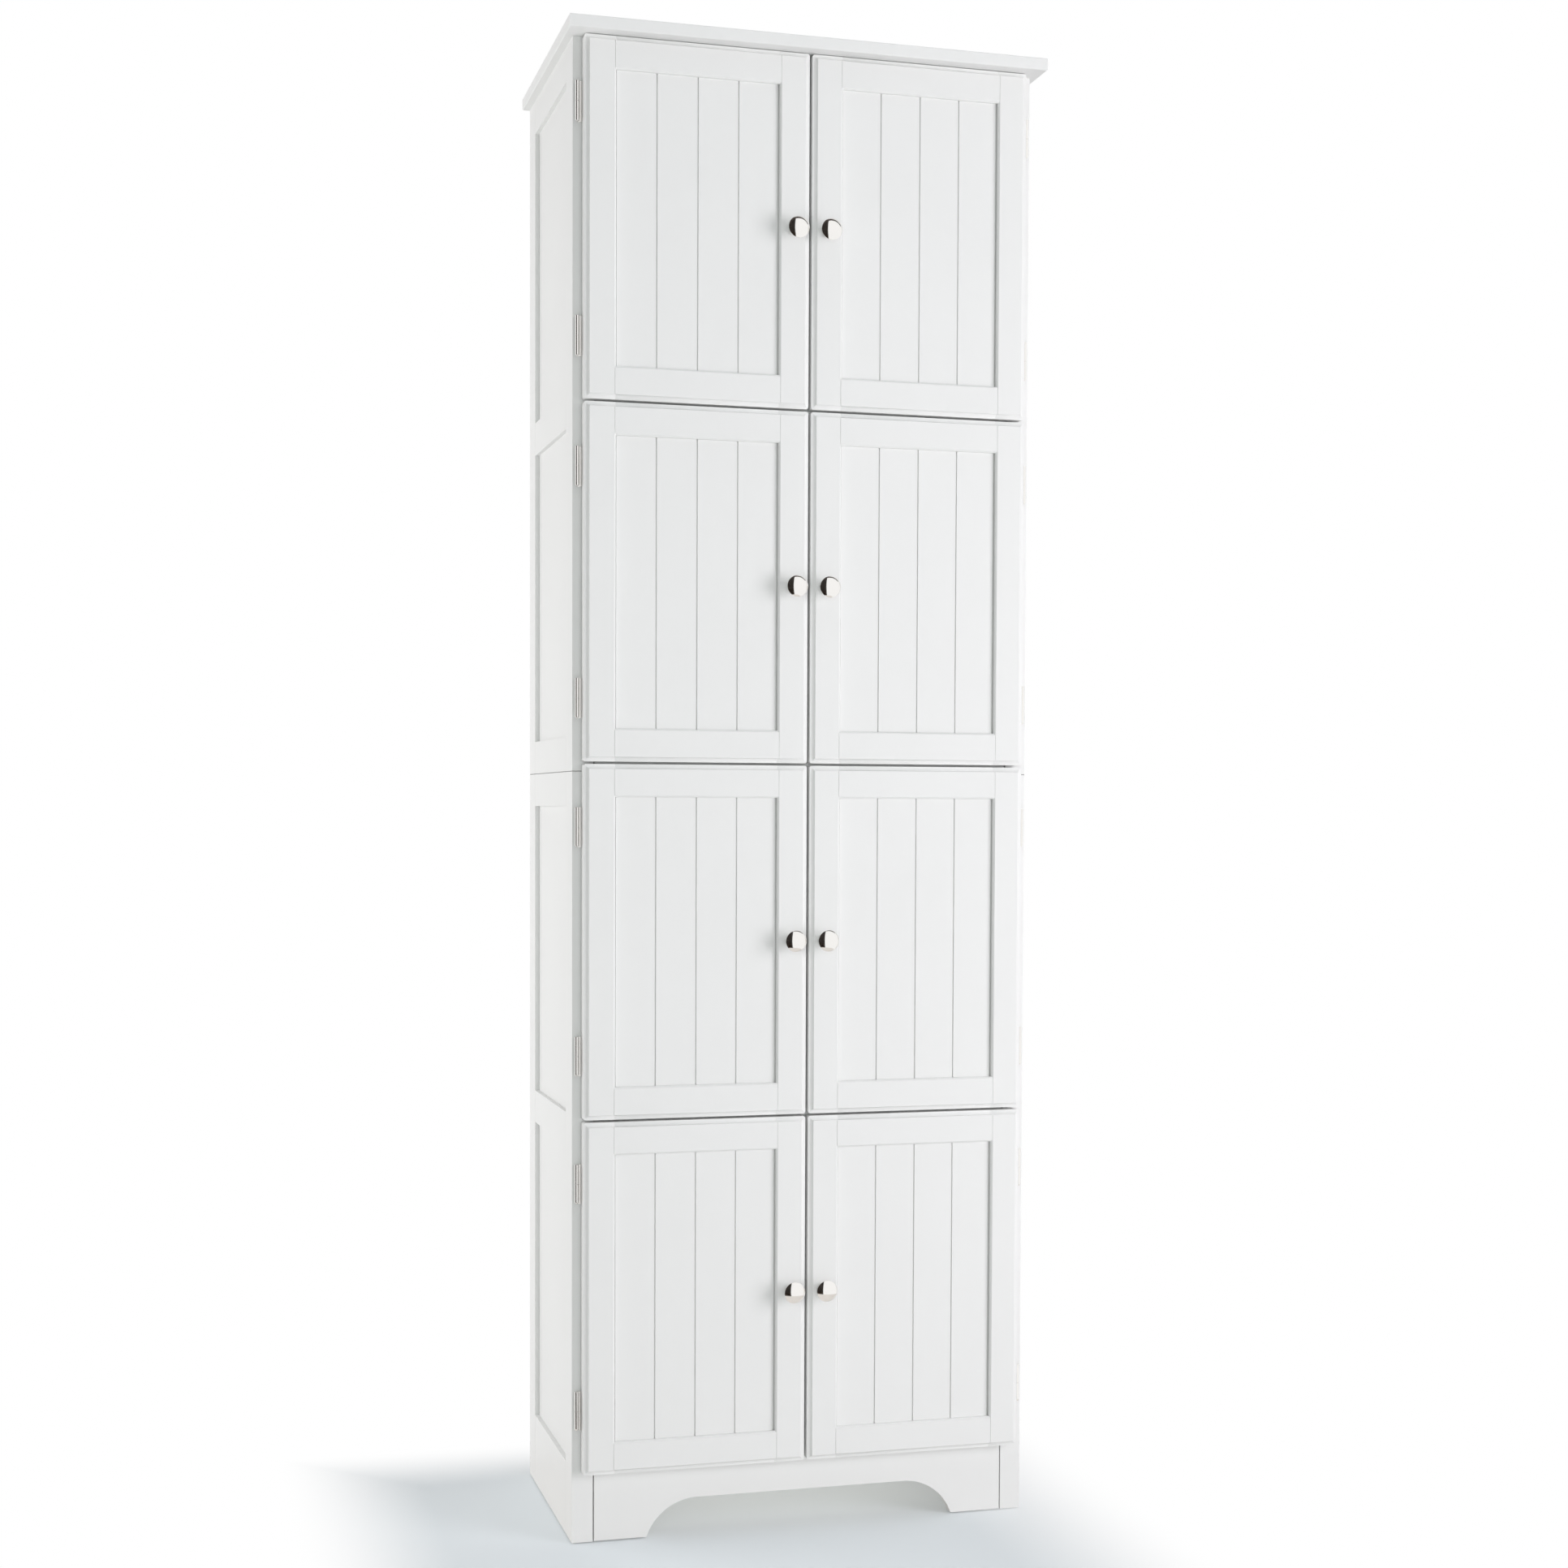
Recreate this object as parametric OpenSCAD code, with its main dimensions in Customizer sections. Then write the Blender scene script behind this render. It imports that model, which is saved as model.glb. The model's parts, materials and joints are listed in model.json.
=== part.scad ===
// Tall eight-door cabinet: two stacked frame-and-panel sections under one top board.
// Millimetres, +Z up, front towards -Y. The origin is under the middle of the whole object.

/* [Overall] */
// Height from the floor to the upper face of the top board
overall_h = 1829; // [1700:1:2000]
// Width across the outer faces of the two side frames
carcass_w = 581; // [500:1:700]
// Depth from the front of the posts to the back panel
carcass_d = 312; // [260:1:400]

/* [Top board] */
// Thickness of the top board
top_t = 15; // [14:0.5:22]
// How far the top board stands out past each side frame
top_side_overhang = 10; // [2:0.5:25]
// How far the top board stands out past the front of the posts
top_front_overhang = 36; // [24:0.5:44]
// Radius of the rounded edges of the top board
top_edge_r = 1.5; // [0.5:0.1:4]

/* [Side frames] */
// Width of a post, seen from the front
post_w = 26; // [24:0.5:36]
// Depth of a post, seen from the side
post_d = 42; // [36:0.5:60]
// Height of the side rails
rail_h = 42; // [36:0.5:60]
// Thickness of the side rails
rail_t = 18; // [16:0.5:22]
// How far the side panels lie behind the outer face of their frame
side_panel_recess = 5.5; // [2:0.5:7]
// Thickness of the side panels, and of the grooves and tenons in their plane
side_panel_t = 5; // [3:0.5:6]
// Depth of the panel grooves in the posts and side rails
side_groove_d = 8; // [5:0.5:10]

/* [Shelves] */
// Thickness of the fixed shelves
shelf_t = 15; // [14:0.5:18]
// Height of each shelf's upper face above the lower edge of its doors
shelf_lip = 3.5; // [0:0.5:6]
// How far the front edge of a shelf lies behind the front of the posts
shelf_setback = 1; // [0.5:0.5:5]
// Open joint between the posts and what spans between them at the front
front_joint = 1.5; // [0.5:0.1:3]
// Clearance between a shelf's notch and the inner face of its post
notch_clearance = 0.5; // [0.2:0.1:2]

/* [Apron] */
// Thickness of the apron
apron_t = 15; // [13:0.5:20]
// Height of the straight underside of the apron above the floor
arch_z = 47; // [30:1:62]
// Radius of the two curved ends of the arch
arch_r = 67.5; // [55:0.5:80]
// Distance from the side of the cabinet to where the arch runs straight
arch_run_inset = 156.5; // [130:0.5:190]
// Clearance between the floor and the feet of the apron
apron_floor_gap = 2; // [1:0.1:4]

/* [Back] */
// Thickness of the back panels
back_t = 3; // [2:0.5:6]
// Width of the rebate in the back posts that takes the back panels
back_lap = 8; // [4:0.5:12]

/* [Doors] */
// Thickness of the doors
door_t = 19; // [16:0.5:24]
// Height of the base, up to the lower edge of the lowest doors
base_h = 88; // [86:0.5:120]
// Gap between one row of doors and the next
row_gap = 3; // [1.5:0.5:8]
// Gap between the highest doors and the top board
top_gap = 1; // [0.5:0.5:8]
// Gap between the two doors of a row
centre_gap = 3.5; // [1.5:0.1:5]
// Width of post left showing beside a door
door_reveal = 11; // [9:0.1:16]
// Width of the door stiles
stile_w = 38; // [34:0.5:50]
// Width of the door rails
door_rail_w = 39.5; // [34:0.5:60]
// Glue line between the members of a door frame
glue_line = 0.05; // [0.02:0.01:0.1]
// Depth of the panel grooves in the door stiles and rails
door_groove_d = 8; // [5:0.5:10]
// Chamfer on the inner arrises of the door stiles and rails
inner_chamfer = 2; // [1:0.1:3]
// Width on the door face of the coved outer edge
cove_w = 5.9; // [3:0.1:7]
// Depth of the coved outer edge below the door face
cove_d = 4; // [3:0.1:6]
// Radius of the cutter that makes the cove
cove_r = 6; // [5.5:0.1:9]
// Radius of a door's corners, seen from the front
door_corner_r = 3; // [1:0.5:6]

/* [Joint lines] */
// Width and depth of the open line where members of a frame meet
joint_line = 0.8; // [0.4:0.1:1.5]

/* [Door panels] */
// How far the door panels lie behind the door face
door_panel_recess = 6; // [4:0.5:7]
// Thickness of the door panels
door_panel_t = 6; // [4:0.5:7]
// Number of boards that the grooves divide a door panel into
board_count = 4; // [2:1:6]
// Width of the grooves between the boards
groove_w = 1.5; // [1:0.1:4]
// Depth of the grooves between the boards
groove_d = 2.5; // [0.5:0.1:3]
// Room for each panel edge to move at the bottom of its groove
panel_slack = 1; // [0.5:0.1:2]
// Clearance between a tenon's end and the bottom of its groove
tenon_slack = 0.5; // [0.2:0.1:1]

/* [Knobs] */
// Diameter of the knob's head
knob_d = 26; // [20:0.5:34]
// Distance from the door face to the crown of the knob
knob_projection = 25; // [20:0.5:32]
// Height of the knob's domed crown
knob_dome_h = 5.5; // [3:0.5:8]
// Thickness of the knob's rim
knob_rim_h = 1.6; // [0.8:0.1:3]
// Diameter of the knob's foot
knob_foot_d = 12.5; // [12:0.5:19]
// Diameter of the knob's waist
knob_waist_d = 8.5; // [7:0.5:11]
// Thickness of the knob's foot
knob_foot_h = 1.6; // [1:0.1:3]

/* [Hinges] */
// Height of a hinge
hinge_h = 48; // [40:1:70]
// Distance from a door's end to the middle of the nearer hinge
hinge_inset = 76; // [50:1:120]
// Thickness of the hinge leaves
leaf_t = 1; // [0.8:0.1:1.2]
// Gap between the two closed leaves
leaf_gap = 0.2; // [0.1:0.1:0.5]
// Width of a leaf from the pin's axis
leaf_w = 17; // [14:0.5:18]
// Corner radius of the leaves
leaf_corner_r = 3; // [1:0.5:5]
// Diameter of the knuckles
knuckle_d = 5.2; // [4:0.1:6]
// Clearance between a knuckle and the post behind it
knuckle_clearance = 0.5; // [0.2:0.1:0.6]
// Distance from the side of the cabinet to the pin's axis
pin_inset = 5.2; // [4:0.1:6]
// Diameter of the hinge pins
pin_d = 2.4; // [1.6:0.1:2.8]
// Radial clearance between a pin and its bores
pin_clearance = 0.05; // [0.03:0.01:0.1]
// Gap between the two knuckles, and between a knuckle and the other leaf
knuckle_gap = 0.4; // [0.2:0.1:1]
// Diameter of the screw holes in the leaves
screw_hole_d = 3.4; // [2.5:0.1:4]

/* [Fittings] */
// Diameter of a cam
cam_d = 15; // [12:0.5:18]
// Height of a cam
cam_h = 12; // [10:0.5:13]
// Distance from a shelf's end to the middle of its cams
cam_setback = 24; // [16:1:34]
// Distance from the posts to the middle of the cams
cam_inset = 35; // [20:1:60]
// Diameter of a cam bolt
bolt_d = 6; // [4:0.5:7]
// Wood left between a cam bolt and the panel groove
bolt_wall = 0.5; // [0.3:0.1:2]
// Diameter of the dowels
dowel_d = 8; // [6:0.5:8]
// Depth of a dowel in a post or shelf
dowel_l = 16; // [10:1:25]
// Wood left over a dowel that enters the top board or the apron
dowel_cover = 5; // [3:0.5:8]
// Distance from the middle to each of the apron's dowels
apron_dowel_x = 150; // [80:1:200]
// Radial clearance round the fittings
fitting_clearance = 0.05; // [0.02:0.01:0.2]
// Width of a double door catch
catch_w = 50; // [36:1:80]
// Depth of a door catch from front to back
catch_d = 14; // [10:0.5:20]
// Height of a door catch
catch_h = 12; // [8:0.5:16]
// How far a door catch stands in front of the posts
catch_reach = 0.7; // [0:0.1:1]
// Diameter of the glides under the posts
glide_d = 18; // [12:0.5:22]
// Thickness of the glides
glide_t = 1.5; // [1:0.1:3]

/* [Hidden] */
ROWS = ["bottom", "lower", "upper", "top"];
SIDES = ["left", "right"];
SECTIONS = ["lower", "upper"];
ENDS = ["front", "back"];
DOOR_PIECES = ["frame", "panel", "knob", "hinge_leaves"];

paint = [0.94, 0.94, 0.93];
nickel = [0.74, 0.72, 0.68];
zinc = [0.62, 0.63, 0.65];
beech = [0.82, 0.68, 0.48];
plastic = [0.90, 0.89, 0.86];
// How far a cut runs past the face that it opens
past = 1;
$fn = 64;

row_count = len(ROWS);
post_top = overall_h - top_t;
door_gap = 2 * leaf_t + leaf_gap;
door_w = (carcass_w - 2 * door_reveal - centre_gap) / 2;
door_h = (post_top - top_gap - base_h - (row_count - 1) * row_gap) / row_count;
front_reach = max(door_gap + door_t + knob_projection, top_front_overhang);
// Y of the front of the posts, which puts the middle of the whole object at Y = 0
front_y = (front_reach - carcass_d) / 2;

function door_z(row) = base_h + row * (door_h + row_gap);
function shelf_z(row) = door_z(row) + shelf_lip - shelf_t;

// The lower section ends where the third shelf, the floor of the upper section, begins
seam_z = shelf_z(2);
function section_z(section) = section == "lower" ? glide_t : seam_z;
function section_top(section) = section == "lower" ? seam_z : post_top;
function post_y(end) = end == "front" ? 0 : carcass_d - post_d;

// The rails of a side frame, from low to high: [lower edge, upper edge]
upper_mid_z = (seam_z + post_top - rail_h) / 2;
function side_rail_spans(section) = section == "lower"
    ? [[glide_t, shelf_z(0) + shelf_t],
       [shelf_z(1) + shelf_t - rail_h, shelf_z(1) + shelf_t],
       [seam_z - rail_h, seam_z]]
    : [[seam_z, seam_z + rail_h],
       [upper_mid_z, upper_mid_z + rail_h],
       [post_top - rail_h, post_top]];

pin_y = knuckle_d / 2 + knuckle_clearance;
door_panel_y = door_panel_recess - door_t;
knob_x = door_w - stile_w / 2;
bolt_embed = rail_t - side_panel_recess - side_panel_t - bolt_wall;
cam_places = [post_d + cam_inset, carcass_d - post_d - cam_inset];
bore_d = bolt_d + 2 * fitting_clearance;

// Puts a piece that is drawn from the cabinet's left outer face and post fronts on its side
module on_side(side) {
    if (side == "right")
        mirror([1, 0, 0]) translate([-carcass_w / 2, front_y, 0]) children();
    else
        translate([-carcass_w / 2, front_y, 0]) children();
}

module on_door(row, side) {
    on_side(side) translate([door_reveal, -door_gap, door_z(row)]) children();
}

module box_between(low, high) {
    translate(low) cube(high - low);
}

// The four places where a shelf's cams sit on one side
module at_cams(row) {
    for (y = cam_places)
        translate([rail_t, y, shelf_z(row) + shelf_t / 2]) children();
}

module top_board() {
    half_w = carcass_w / 2 + top_side_overhang;
    color(paint)
    translate([0, front_y, 0])
    difference() {
        intersection() {
            translate([0, carcass_d, 0]) rotate([90, 0, 0])
                linear_extrude(carcass_d + top_front_overhang)
                rounded_section(-half_w, half_w, top_edge_r, top_edge_r);
            translate([-half_w, 0, 0]) rotate([90, 0, 90])
                linear_extrude(2 * half_w)
                rounded_section(-top_front_overhang, carcass_d, top_edge_r, 0);
        }
        post_dowel_places(post_top) dowel_hole(-past, top_t - dowel_cover);
    }
}

// Section of the top board, with round corners of its own radius at each end
module rounded_section(low, high, low_r, high_r) {
    polygon([[low + low_r, post_top], [high - high_r, post_top],
             [high, post_top + high_r], [high, overall_h - high_r],
             [high - high_r, overall_h], [low + low_r, overall_h],
             [low, overall_h - low_r], [low, post_top + low_r]]);
    for (z = [post_top + low_r, overall_h - low_r])
        translate([low + low_r, z]) circle(r = low_r);
    if (high_r > 0)
        for (z = [post_top + high_r, overall_h - high_r])
            translate([high - high_r, z]) circle(r = high_r);
}

// The middle of each post's section, at one height
module post_dowel_places(z) {
    for (x = [-1, 1] * (carcass_w - post_w) / 2, end = ENDS)
        translate([x, post_y(end) + post_d / 2, z]) children();
}

module dowel_hole(low, high) {
    translate([0, 0, low]) cylinder(d = dowel_d + 2 * fitting_clearance, h = high - low);
}

module post(section, side, end) {
    low = section_z(section);
    high = section_top(section);
    inner_y = end == "front" ? post_d : carcass_d - post_d;
    groove_y = end == "front" ? [inner_y - side_groove_d, inner_y + past]
                              : [inner_y - past, inner_y + side_groove_d];
    color(paint)
    on_side(side)
    difference() {
        box_between([0, post_y(end), low], [post_w, post_y(end) + post_d, high]);
        box_between([side_panel_recess, groove_y[0], low - past],
                    [side_panel_recess + side_panel_t, groove_y[1], high + past]);
        if (end == "back") back_rebate(section);
        seam_line();
        translate([post_w / 2, post_y(end) + post_d / 2, high]) dowel_hole(-dowel_l, past);
        if (section == "upper")
            translate([post_w / 2, post_y(end) + post_d / 2, low]) dowel_hole(-past, dowel_l);
    }
}

// The sanded arrises where the upper section stands on the lower one
module seam_line() {
    arris = joint_line * sqrt(2) / 2;
    for (turn = [[90, 0, 0], [0, 90, 0]])
        translate([0, 0, seam_z]) rotate(turn) rotate(45)
        cube([arris, arris, 2 * carcass_d + 2 * past], center = true);
}

module back_rebate(section) {
    low = section == "lower" ? shelf_z(0) : seam_z - past;
    box_between([post_w - back_lap, carcass_d - back_t, low],
                [post_w + past, carcass_d + past, section_top(section) + past]);
}

module side_rails(section, side) {
    spans = side_rail_spans(section);
    color(paint)
    on_side(side)
    for (i = [0 : len(spans) - 1])
        side_rail(spans[i], i > 0, i < len(spans) - 1);
}

// One rail with a stub tenon at each end, grooved where a panel enters it
module side_rail(span, groove_below, groove_above) {
    tenon_l = side_groove_d - tenon_slack;
    panel_y = [post_d - side_groove_d - past, carcass_d - post_d + side_groove_d + past];
    difference() {
        union() {
            translate([0, 0, span[0]])
                linear_extrude(span[1] - span[0])
                polygon([[0, post_d + joint_line], [0, carcass_d - post_d - joint_line],
                         [joint_line, carcass_d - post_d], [rail_t, carcass_d - post_d],
                         [rail_t, post_d], [joint_line, post_d]]);
            box_between([side_panel_recess, post_d - tenon_l, span[0]],
                        [side_panel_recess + side_panel_t, carcass_d - post_d + tenon_l, span[1]]);
        }
        if (groove_below)
            box_between([side_panel_recess, panel_y[0], span[0] - past],
                        [side_panel_recess + side_panel_t, panel_y[1], span[0] + side_groove_d]);
        if (groove_above)
            box_between([side_panel_recess, panel_y[0], span[1] - side_groove_d],
                        [side_panel_recess + side_panel_t, panel_y[1], span[1] + past]);
        if (span[0] == seam_z || span[1] == seam_z) seam_line();
        for (row = [0 : row_count - 1])
            if (shelf_z(row) >= span[0] - past && shelf_z(row) + shelf_t / 2 < span[1])
                at_cams(row)
                    translate([-bolt_embed, 0, 0]) rotate([0, 90, 0])
                    cylinder(d = bore_d, h = bolt_embed + past);
    }
}

module side_panels(section) {
    spans = side_rail_spans(section);
    tongue = side_groove_d - panel_slack;
    color(paint)
    for (side = SIDES)
        on_side(side)
        for (i = [1 : len(spans) - 1])
            box_between([side_panel_recess, post_d - tongue, spans[i - 1][1] - tongue],
                        [side_panel_recess + side_panel_t, carcass_d - post_d + tongue,
                         spans[i][0] + tongue]);
}

// A fixed shelf, notched round the four posts and bored for its cams and bolts
module shelf(row) {
    front = row == 0 ? apron_t : shelf_setback;
    back = carcass_d - back_t;
    narrow = carcass_w / 2 - post_w - front_joint;
    wide = carcass_w / 2 - rail_t;
    notch = post_d + notch_clearance;
    color(paint)
    difference() {
        translate([0, front_y, shelf_z(row)])
            linear_extrude(shelf_t)
            polygon([[-narrow, front], [narrow, front], [narrow, notch], [wide, notch],
                     [wide, carcass_d - notch], [narrow, carcass_d - notch], [narrow, back],
                     [-narrow, back], [-narrow, carcass_d - notch], [-wide, carcass_d - notch],
                     [-wide, notch], [-narrow, notch]]);
        for (side = SIDES)
            on_side(side)
            at_cams(row) {
                translate([cam_setback, 0, -shelf_t / 2 - past])
                    cylinder(d = cam_d + 2 * fitting_clearance, h = cam_h + past + fitting_clearance);
                translate([-past, 0, 0]) rotate([0, 90, 0])
                    cylinder(d = bore_d, h = cam_setback + past);
            }
        if (row == 0)
            apron_dowel_places() rotate([-90, 0, 0]) dowel_hole(-past, dowel_l);
    }
}

// Where the bottom shelf's front edge meets the back of the apron
module apron_dowel_places() {
    for (x = [-apron_dowel_x, apron_dowel_x])
        translate([x, front_y + apron_t, shelf_z(0) + shelf_t / 2]) children();
}

// The shaped board under the lowest doors, arched between its two feet
module apron() {
    half_w = carcass_w / 2 - post_w - front_joint;
    run = carcass_w / 2 - arch_run_inset;
    color(paint)
    difference() {
        translate([0, front_y + apron_t, 0]) rotate([90, 0, 0])
            linear_extrude(apron_t)
            difference() {
                polygon([[-half_w, apron_floor_gap], [half_w, apron_floor_gap],
                         [half_w, shelf_z(0) + shelf_t], [-half_w, shelf_z(0) + shelf_t]]);
                polygon([[-run, -past], [run, -past], [run, arch_z], [-run, arch_z]]);
                for (x = [-run, run])
                    translate([x, arch_z - arch_r]) circle(r = arch_r, $fn = 128);
            }
        apron_dowel_places() rotate([-90, 0, 0]) dowel_hole(dowel_cover - apron_t, past);
    }
}

module back_panel(section) {
    low = section == "lower" ? shelf_z(0) : seam_z;
    half_w = carcass_w / 2 - post_w + back_lap;
    color(paint)
    translate([0, front_y, 0])
        box_between([-half_w, carcass_d - back_t, low],
                    [half_w, carcass_d, section_top(section)]);
}

// The stile nearest x = 0 of a door's own space, where y = 0 is the door's back
module door_stile() {
    difference() {
        box_between([0, -door_t, 0], [stile_w, 0, door_h]);
        box_between([stile_w - door_groove_d, door_panel_y, -past],
                    [stile_w + past, door_panel_y + door_panel_t, door_h + past]);
        translate([0, 0, -past]) linear_extrude(door_h + 2 * past)
            polygon([[stile_w - inner_chamfer, -door_t], [stile_w + past, -door_t - past],
                     [stile_w + past, -door_t + inner_chamfer + past],
                     [stile_w, -door_t + inner_chamfer]]);
        edge_cove_upright();
        edge_cove_level(stile_w);
        door_corner();
        translate([0, 0, door_h]) mirror([0, 0, 1]) {
            edge_cove_level(stile_w);
            door_corner();
        }
    }
}

// What rounds off the door's lower corner at x = 0
module door_corner() {
    difference() {
        box_between([-past, -door_t - past, -past], [door_corner_r, past, door_corner_r]);
        translate([door_corner_r, 2 * past, door_corner_r]) rotate([90, 0, 0])
            cylinder(r = door_corner_r, h = door_t + 4 * past);
    }
}

// The lower rail: its ends are coped over the stiles' chamfers and tenoned into their grooves
module door_rail() {
    tenon_l = door_groove_d - tenon_slack;
    line_w = min(joint_line, inner_chamfer - 0.5);
    back_x = stile_w + glue_line;
    face_x = back_x - inner_chamfer + line_w;
    difference() {
        union() {
            linear_extrude(door_rail_w)
                polygon([[face_x, -door_t], [door_w - face_x, -door_t],
                         [door_w - face_x, -door_t + line_w],
                         [door_w - back_x, -door_t + inner_chamfer], [door_w - back_x, 0],
                         [back_x, 0], [back_x, -door_t + inner_chamfer],
                         [face_x, -door_t + line_w]]);
            box_between([stile_w - tenon_l, door_panel_y + glue_line, 0],
                        [door_w - stile_w + tenon_l, door_panel_y + door_panel_t - glue_line,
                         door_rail_w]);
        }
        box_between([0, door_panel_y, door_rail_w - door_groove_d],
                    [door_w, door_panel_y + door_panel_t, door_rail_w + past]);
        rotate([90, 0, 90]) linear_extrude(door_w)
            polygon([[-door_t, door_rail_w - inner_chamfer],
                     [-door_t + inner_chamfer, door_rail_w],
                     [-door_t + inner_chamfer + past, door_rail_w + past],
                     [-door_t - past, door_rail_w + past]]);
        edge_cove_level(door_w);
    }
}

// Centre of the round cutter whose arc joins the cove's two edges
cove_chord = norm([cove_w, cove_d]);
cove_offset = sqrt(cove_r * cove_r - cove_chord * cove_chord / 4);
cove_centre = [cove_w / 2 - cove_offset * cove_d / cove_chord,
               cove_d / 2 - cove_offset * cove_w / cove_chord];

module edge_cove_upright() {
    translate([cove_centre[0], -door_t + cove_centre[1], -past])
        cylinder(r = cove_r, h = door_h + 2 * past);
}

module edge_cove_level(length) {
    translate([-past, -door_t + cove_centre[1], cove_centre[0]]) rotate([0, 90, 0])
        cylinder(r = cove_r, h = length + 2 * past);
}

module door_frame(row, side) {
    color(paint)
    on_door(row, side) {
        door_stile();
        translate([door_w, 0, 0]) mirror([1, 0, 0]) door_stile();
        door_rail();
        translate([0, 0, door_h]) mirror([0, 0, 1]) door_rail();
    }
}

// Middle of a panel groove: one lies along each stile, and the others part the boards
function panel_groove_x(i) = stile_w + i * (door_w - 2 * stile_w) / board_count
    + (i == 0 ? groove_w / 2 : i == board_count ? -groove_w / 2 : 0);

// The tongued panel, with grooves that divide it into boards
module door_panel(row, side) {
    inset_x = stile_w - door_groove_d + panel_slack;
    inset_z = door_rail_w - door_groove_d + panel_slack;
    color(paint)
    on_door(row, side)
    translate([0, 0, inset_z])
        linear_extrude(door_h - 2 * inset_z)
        difference() {
            polygon([[inset_x, door_panel_y], [door_w - inset_x, door_panel_y],
                     [door_w - inset_x, door_panel_y + door_panel_t],
                     [inset_x, door_panel_y + door_panel_t]]);
            for (i = [0 : board_count])
                translate([panel_groove_x(i), door_panel_y])
                polygon([[-groove_w / 2, -past], [groove_w / 2, -past],
                         [groove_w / 2, groove_d], [-groove_w / 2, groove_d]]);
        }
}

// A turned mushroom knob: foot, hollow-sided waist, rim and domed crown
module door_knob(row, side) {
    head_r = knob_d / 2;
    rim_z = knob_projection - knob_dome_h - knob_rim_h;
    dome_r = (head_r * head_r + knob_dome_h * knob_dome_h) / (2 * knob_dome_h);
    hollow_r = (rim_z - knob_foot_h) / 2;
    from_middle = carcass_w / 2 - door_reveal - knob_x;
    color(nickel)
    translate([side == "left" ? -from_middle : from_middle,
               front_y - door_gap - door_t, door_z(row) + door_h / 2])
    rotate([90, 0, 0]) {
        cylinder(d = knob_foot_d, h = knob_foot_h);
        rotate_extrude($fn = 96)
            difference() {
                polygon([[0, knob_foot_h / 2], [knob_foot_d / 2, knob_foot_h / 2],
                         [knob_foot_d / 2, knob_foot_h], [head_r, rim_z],
                         [head_r, rim_z + knob_rim_h / 2], [0, rim_z + knob_rim_h / 2]]);
                translate([knob_waist_d / 2 + hollow_r, knob_foot_h + hollow_r])
                    circle(r = hollow_r);
            }
        intersection() {
            translate([0, 0, rim_z]) cylinder(d = knob_d, h = knob_projection, $fn = 96);
            translate([0, 0, knob_projection - dome_r]) sphere(r = dome_r, $fn = 96);
        }
    }
}

// The middles of the hinges of one door, as heights above the floor
function hinge_heights(row) = [door_z(row) + hinge_inset, door_z(row) + door_h - hinge_inset];

// A leaf lying behind y = 0, with the knuckle on its lower half when low is true
module hinge_leaf(low, front) {
    half_h = hinge_h / 2;
    knuckle_r = knuckle_d / 2;
    free_x = knuckle_r + knuckle_gap;
    flip = low ? 1 : -1;
    knuckle_z = low ? -half_h : knuckle_gap / 2;
    difference() {
        union() {
            translate([0, front + leaf_t, 0]) rotate([90, 0, 0])
                linear_extrude(leaf_t)
                leaf_outline(free_x, half_h, flip);
            translate([0, -pin_y, knuckle_z]) knuckle(low, half_h - knuckle_gap / 2);
            translate([0, -pin_y, knuckle_z + (low ? knuckle_r : 0)])
                cube([knuckle_r, front + pin_y + leaf_t / 2,
                      half_h - knuckle_gap / 2 - (low ? knuckle_r : 0)]);
        }
        translate([0, -pin_y, -half_h + (low ? knuckle_r - knuckle_gap : -past)])
            cylinder(d = pin_d + 2 * pin_clearance, h = hinge_h + past);
        for (z = [-half_h / 2, half_h / 2])
            translate([(free_x + leaf_w) / 2, front - past, z]) rotate([-90, 0, 0])
            cylinder(d = screw_hole_d, h = leaf_t + 2 * past);
    }
}

// Outline of a leaf: full width beside its own knuckle, cut back beside the other one
module leaf_outline(free_x, half_h, flip) {
    r = leaf_corner_r;
    polygon([[0, -flip * half_h], [leaf_w - r, -flip * half_h], [leaf_w - r, flip * half_h],
             [free_x, flip * half_h], [free_x, -flip * knuckle_gap / 2],
             [0, -flip * knuckle_gap / 2]]);
    translate([free_x, r - half_h]) square([leaf_w - free_x, hinge_h - 2 * r]);
    for (z = [r - half_h, half_h - r])
        translate([leaf_w - r, z]) circle(r = r);
}

// The lower knuckle is closed by a round end and the upper one is open
module knuckle(low, length) {
    r = knuckle_d / 2;
    if (low) {
        translate([0, 0, r]) sphere(r = r);
        translate([0, 0, r]) cylinder(r = r, h = length - r);
    } else {
        cylinder(r = r, h = length);
    }
}

module frame_hinge_leaves() {
    color(nickel)
    for (side = SIDES, row = [0 : row_count - 1], z = hinge_heights(row))
        on_side(side) translate([pin_inset, 0, z]) hinge_leaf(true, -leaf_t);
}

module door_hinge_leaves(row, side) {
    color(nickel)
    for (z = hinge_heights(row))
        on_side(side) translate([pin_inset, 0, z]) hinge_leaf(false, -door_gap);
}

module hinge_pins() {
    low = -hinge_h / 2 + knuckle_d / 2;
    color(nickel)
    for (side = SIDES, row = [0 : row_count - 1], z = hinge_heights(row))
        on_side(side)
        translate([pin_inset, -pin_y, z + low]) cylinder(d = pin_d, h = hinge_h / 2 - low);
}

// Double catches under the shelf or top board over each compartment
module door_catches() {
    color(plastic)
    for (row = [0 : row_count - 1]) {
        high = row == row_count - 1 ? post_top : shelf_z(row + 1);
        translate([0, front_y, 0])
            box_between([-catch_w / 2, -catch_reach, high - catch_h],
                        [catch_w / 2, catch_d - catch_reach, high]);
    }
}

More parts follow.
